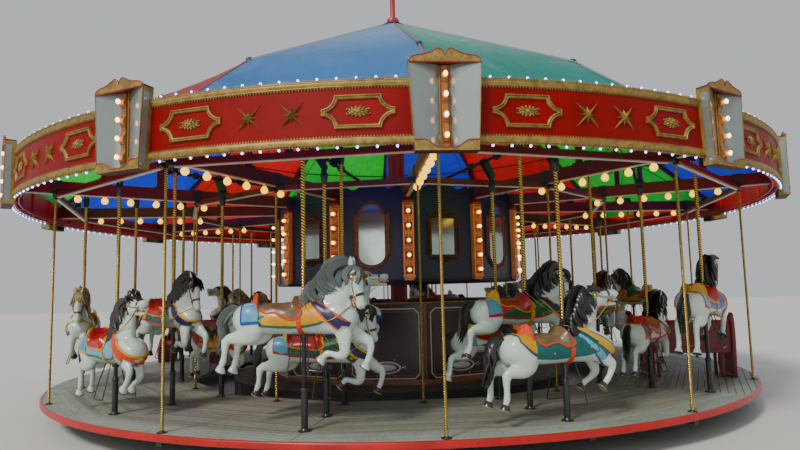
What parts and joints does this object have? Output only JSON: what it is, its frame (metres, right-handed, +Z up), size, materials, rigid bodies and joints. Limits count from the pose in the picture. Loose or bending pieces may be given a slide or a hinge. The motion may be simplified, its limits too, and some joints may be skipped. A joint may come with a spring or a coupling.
{
  "type": "fairground carousel",
  "caption": "Fairground carousel with jumping horses three abreast, chariots, mirrored centre, rounding boards and a striped canvas roof.",
  "frame": {"origin": "on the centre pole's axis at ground level", "axes": "+Z up along the axis of rotation, -Y towards the side that the picture shows, +X the way the near horses run"},
  "size_m": [12.0158, 12.0158, 7.7],
  "materials": {
    "dark_base": "matt black painted steel and boarding",
    "red_paint": "gloss red paint with gold mouldings",
    "maroon_paint": "painted timber, dark red",
    "brass": "polished twisted brass",
    "deck_paint": "worn grey-green deck paint on boards",
    "black_paint": "black enamel",
    "navy_paint": "dark blue painted panels",
    "canvas": "striped canvas, translucent",
    "horse_paint": "glossy white painted carving"
  },
  "bodies": {
    "centre": {"base_plinth": "dark_base", "centre_pole": "red_paint", "centre_enclosure": "maroon_paint"},
    "turntable": {"sweeps": "maroon_paint", "outer_ring_and_rods": "brass", "inner_ring_and_rods": "brass", "platform_deck": "deck_paint", "platform_rim": "red_paint", "pole_sleeves_outer": "black_paint", "pole_sleeves_middle": "black_paint", "pole_sleeves_inner": "black_paint", "crankshafts": "black_paint", "upper_drum": "navy_paint", "rounding_board_1": "red_paint", "rounding_board_2": "red_paint", "rounding_board_3": "red_paint", "rounding_board_4": "red_paint", "roof_canvas_1": "canvas", "roof_canvas_2": "canvas", "roof_canvas_3": "canvas", "roof_canvas_4": "canvas", "roof_frame": "maroon_paint", "chariot_1": "maroon_paint", "chariot_2": "maroon_paint"},
    "horse_01_outer": {"horse_01_outer": "horse_paint"},
    "horse_01_middle": {"horse_01_middle": "horse_paint"},
    "horse_01_inner": {"horse_01_inner": "horse_paint"},
    "horse_02_outer": {"horse_02_outer": "horse_paint"},
    "horse_02_middle": {"horse_02_middle": "horse_paint"},
    "horse_02_inner": {"horse_02_inner": "horse_paint"},
    "horse_04_outer": {"horse_04_outer": "horse_paint"},
    "horse_04_middle": {"horse_04_middle": "horse_paint"},
    "horse_04_inner": {"horse_04_inner": "horse_paint"},
    "horse_05_outer": {"horse_05_outer": "horse_paint"},
    "horse_05_middle": {"horse_05_middle": "horse_paint"},
    "horse_05_inner": {"horse_05_inner": "horse_paint"},
    "horse_06_outer": {"horse_06_outer": "horse_paint"},
    "horse_06_middle": {"horse_06_middle": "horse_paint"},
    "horse_06_inner": {"horse_06_inner": "horse_paint"},
    "horse_07_outer": {"horse_07_outer": "horse_paint"},
    "horse_07_middle": {"horse_07_middle": "horse_paint"},
    "horse_07_inner": {"horse_07_inner": "horse_paint"},
    "horse_08_outer": {"horse_08_outer": "horse_paint"},
    "horse_08_middle": {"horse_08_middle": "horse_paint"},
    "horse_08_inner": {"horse_08_inner": "horse_paint"},
    "horse_10_outer": {"horse_10_outer": "horse_paint"},
    "horse_10_middle": {"horse_10_middle": "horse_paint"},
    "horse_10_inner": {"horse_10_inner": "horse_paint"},
    "horse_11_outer": {"horse_11_outer": "horse_paint"},
    "horse_11_middle": {"horse_11_middle": "horse_paint"},
    "horse_11_inner": {"horse_11_inner": "horse_paint"},
    "horse_12_outer": {"horse_12_outer": "horse_paint"},
    "horse_12_middle": {"horse_12_middle": "horse_paint"},
    "horse_12_inner": {"horse_12_inner": "horse_paint"}
  },
  "joints": [
    {"name": "spin", "type": "hinge", "parent": "centre", "child": "turntable", "pos_m": [0, 0, 0.33], "axis": [0, 0, 1], "continuous": true},
    {"name": "horse_01_outer_rise", "type": "slide", "parent": "turntable", "child": "horse_01_outer", "axis": [0, 0, 1], "range_m": [0, 0.36]},
    {"name": "horse_01_middle_rise", "type": "slide", "parent": "turntable", "child": "horse_01_middle", "axis": [0, 0, 1], "range_m": [-0.36, 0]},
    {"name": "horse_01_inner_rise", "type": "slide", "parent": "turntable", "child": "horse_01_inner", "axis": [0, 0, 1], "range_m": [0, 0.36]},
    {"name": "horse_02_outer_rise", "type": "slide", "parent": "turntable", "child": "horse_02_outer", "axis": [0, 0, 1], "range_m": [-0.36, 0]},
    {"name": "horse_02_middle_rise", "type": "slide", "parent": "turntable", "child": "horse_02_middle", "axis": [0, 0, 1], "range_m": [0, 0.36]},
    {"name": "horse_02_inner_rise", "type": "slide", "parent": "turntable", "child": "horse_02_inner", "axis": [0, 0, 1], "range_m": [-0.36, 0]},
    {"name": "horse_04_outer_rise", "type": "slide", "parent": "turntable", "child": "horse_04_outer", "axis": [0, 0, 1], "range_m": [-0.36, 0]},
    {"name": "horse_04_middle_rise", "type": "slide", "parent": "turntable", "child": "horse_04_middle", "axis": [0, 0, 1], "range_m": [0, 0.36]},
    {"name": "horse_04_inner_rise", "type": "slide", "parent": "turntable", "child": "horse_04_inner", "axis": [0, 0, 1], "range_m": [-0.36, 0]},
    {"name": "horse_05_outer_rise", "type": "slide", "parent": "turntable", "child": "horse_05_outer", "axis": [0, 0, 1], "range_m": [-0.18, 0.18]},
    {"name": "horse_05_middle_rise", "type": "slide", "parent": "turntable", "child": "horse_05_middle", "axis": [0, 0, 1], "range_m": [-0.18, 0.18]},
    {"name": "horse_05_inner_rise", "type": "slide", "parent": "turntable", "child": "horse_05_inner", "axis": [0, 0, 1], "range_m": [-0.18, 0.18]},
    {"name": "horse_06_outer_rise", "type": "slide", "parent": "turntable", "child": "horse_06_outer", "axis": [0, 0, 1], "range_m": [0, 0.36]},
    {"name": "horse_06_middle_rise", "type": "slide", "parent": "turntable", "child": "horse_06_middle", "axis": [0, 0, 1], "range_m": [-0.36, 0]},
    {"name": "horse_06_inner_rise", "type": "slide", "parent": "turntable", "child": "horse_06_inner", "axis": [0, 0, 1], "range_m": [0, 0.36]},
    {"name": "horse_07_outer_rise", "type": "slide", "parent": "turntable", "child": "horse_07_outer", "axis": [0, 0, 1], "range_m": [-0.36, 0]},
    {"name": "horse_07_middle_rise", "type": "slide", "parent": "turntable", "child": "horse_07_middle", "axis": [0, 0, 1], "range_m": [0, 0.36]},
    {"name": "horse_07_inner_rise", "type": "slide", "parent": "turntable", "child": "horse_07_inner", "axis": [0, 0, 1], "range_m": [-0.36, 0]},
    {"name": "horse_08_outer_rise", "type": "slide", "parent": "turntable", "child": "horse_08_outer", "axis": [0, 0, 1], "range_m": [-0.18, 0.18]},
    {"name": "horse_08_middle_rise", "type": "slide", "parent": "turntable", "child": "horse_08_middle", "axis": [0, 0, 1], "range_m": [-0.18, 0.18]},
    {"name": "horse_08_inner_rise", "type": "slide", "parent": "turntable", "child": "horse_08_inner", "axis": [0, 0, 1], "range_m": [-0.18, 0.18]},
    {"name": "horse_10_outer_rise", "type": "slide", "parent": "turntable", "child": "horse_10_outer", "axis": [0, 0, 1], "range_m": [-0.18, 0.18]},
    {"name": "horse_10_middle_rise", "type": "slide", "parent": "turntable", "child": "horse_10_middle", "axis": [0, 0, 1], "range_m": [-0.18, 0.18]},
    {"name": "horse_10_inner_rise", "type": "slide", "parent": "turntable", "child": "horse_10_inner", "axis": [0, 0, 1], "range_m": [-0.18, 0.18]},
    {"name": "horse_11_outer_rise", "type": "slide", "parent": "turntable", "child": "horse_11_outer", "axis": [0, 0, 1], "range_m": [0, 0.36]},
    {"name": "horse_11_middle_rise", "type": "slide", "parent": "turntable", "child": "horse_11_middle", "axis": [0, 0, 1], "range_m": [-0.36, 0]},
    {"name": "horse_11_inner_rise", "type": "slide", "parent": "turntable", "child": "horse_11_inner", "axis": [0, 0, 1], "range_m": [0, 0.36]},
    {"name": "horse_12_outer_rise", "type": "slide", "parent": "turntable", "child": "horse_12_outer", "axis": [0, 0, 1], "range_m": [-0.36, 0]},
    {"name": "horse_12_middle_rise", "type": "slide", "parent": "turntable", "child": "horse_12_middle", "axis": [0, 0, 1], "range_m": [0, 0.36]},
    {"name": "horse_12_inner_rise", "type": "slide", "parent": "turntable", "child": "horse_12_inner", "axis": [0, 0, 1], "range_m": [-0.36, 0]}
  ],
  "couplings": [
    {"joint": "horse_01_outer_rise", "follows": "horse_12_outer_rise", "ratio": -1},
    {"joint": "horse_01_middle_rise", "follows": "horse_12_outer_rise", "ratio": 1},
    {"joint": "horse_01_inner_rise", "follows": "horse_12_outer_rise", "ratio": -1},
    {"joint": "horse_02_outer_rise", "follows": "horse_12_outer_rise", "ratio": 1},
    {"joint": "horse_02_middle_rise", "follows": "horse_12_outer_rise", "ratio": -1},
    {"joint": "horse_02_inner_rise", "follows": "horse_12_outer_rise", "ratio": 1},
    {"joint": "horse_04_outer_rise", "follows": "horse_12_outer_rise", "ratio": 1},
    {"joint": "horse_04_middle_rise", "follows": "horse_12_outer_rise", "ratio": -1},
    {"joint": "horse_04_inner_rise", "follows": "horse_12_outer_rise", "ratio": 1},
    {"joint": "horse_05_middle_rise", "follows": "horse_05_outer_rise", "ratio": -1},
    {"joint": "horse_05_inner_rise", "follows": "horse_05_outer_rise", "ratio": 1},
    {"joint": "horse_06_outer_rise", "follows": "horse_12_outer_rise", "ratio": -1},
    {"joint": "horse_06_middle_rise", "follows": "horse_12_outer_rise", "ratio": 1},
    {"joint": "horse_06_inner_rise", "follows": "horse_12_outer_rise", "ratio": -1},
    {"joint": "horse_07_outer_rise", "follows": "horse_12_outer_rise", "ratio": 1},
    {"joint": "horse_07_middle_rise", "follows": "horse_12_outer_rise", "ratio": -1},
    {"joint": "horse_07_inner_rise", "follows": "horse_12_outer_rise", "ratio": 1},
    {"joint": "horse_08_outer_rise", "follows": "horse_05_outer_rise", "ratio": 1},
    {"joint": "horse_08_middle_rise", "follows": "horse_05_outer_rise", "ratio": -1},
    {"joint": "horse_08_inner_rise", "follows": "horse_05_outer_rise", "ratio": 1},
    {"joint": "horse_10_outer_rise", "follows": "horse_05_outer_rise", "ratio": 1},
    {"joint": "horse_10_middle_rise", "follows": "horse_05_outer_rise", "ratio": -1},
    {"joint": "horse_10_inner_rise", "follows": "horse_05_outer_rise", "ratio": 1},
    {"joint": "horse_11_outer_rise", "follows": "horse_12_outer_rise", "ratio": -1},
    {"joint": "horse_11_middle_rise", "follows": "horse_12_outer_rise", "ratio": 1},
    {"joint": "horse_11_inner_rise", "follows": "horse_12_outer_rise", "ratio": -1},
    {"joint": "horse_12_middle_rise", "follows": "horse_12_outer_rise", "ratio": -1},
    {"joint": "horse_12_inner_rise", "follows": "horse_12_outer_rise", "ratio": 1}
  ]
}
